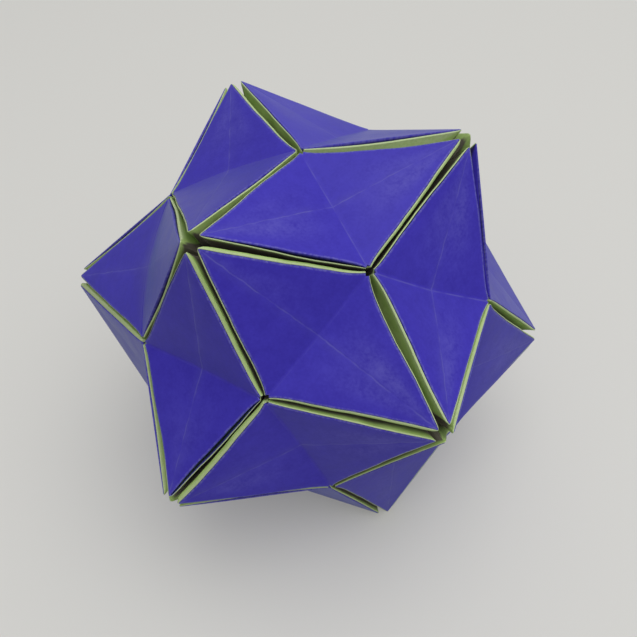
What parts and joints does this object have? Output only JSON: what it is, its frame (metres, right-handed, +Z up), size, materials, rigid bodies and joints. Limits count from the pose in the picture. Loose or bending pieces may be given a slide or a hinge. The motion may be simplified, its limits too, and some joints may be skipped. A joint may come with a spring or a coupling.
{
  "type": "kusudama paper ball",
  "caption": "Ball of folded two-tone paper units joined edge to edge, with points that stick out, hollow corners between them and open green-lined slots along the seams.",
  "frame": {"origin": "middle of the ball's footprint, on the surface that its three lowest points rest on", "axes": "+Z up through a hollow corner, +X towards one of the three highest points"},
  "size_m": [0.135, 0.119, 0.1112],
  "materials": {
    "blue_paper": "matt blue-violet face of two-tone folding paper",
    "green_paper": "matt green reverse of the same paper, seen in the slots"
  },
  "bodies": {
    "root": {"top_unit_1": "blue_paper", "top_unit_2": "blue_paper", "top_unit_3": "blue_paper", "upper_unit_1": "blue_paper", "upper_unit_2": "blue_paper", "upper_unit_3": "blue_paper", "upper_unit_4": "blue_paper", "upper_unit_5": "blue_paper", "upper_unit_6": "blue_paper", "upper_side_unit_1": "blue_paper", "upper_side_unit_2": "blue_paper", "upper_side_unit_3": "blue_paper", "middle_unit_1": "blue_paper", "middle_unit_2": "blue_paper", "middle_unit_3": "blue_paper", "middle_unit_4": "blue_paper", "middle_unit_5": "blue_paper", "middle_unit_6": "blue_paper", "lower_side_unit_1": "blue_paper", "lower_side_unit_2": "blue_paper", "lower_side_unit_3": "blue_paper", "lower_unit_1": "blue_paper", "lower_unit_2": "blue_paper", "lower_unit_3": "blue_paper", "lower_unit_4": "blue_paper", "lower_unit_5": "blue_paper", "lower_unit_6": "blue_paper", "bottom_unit_1": "blue_paper", "bottom_unit_2": "blue_paper", "bottom_unit_3": "blue_paper"}
  },
  "joints": []
}
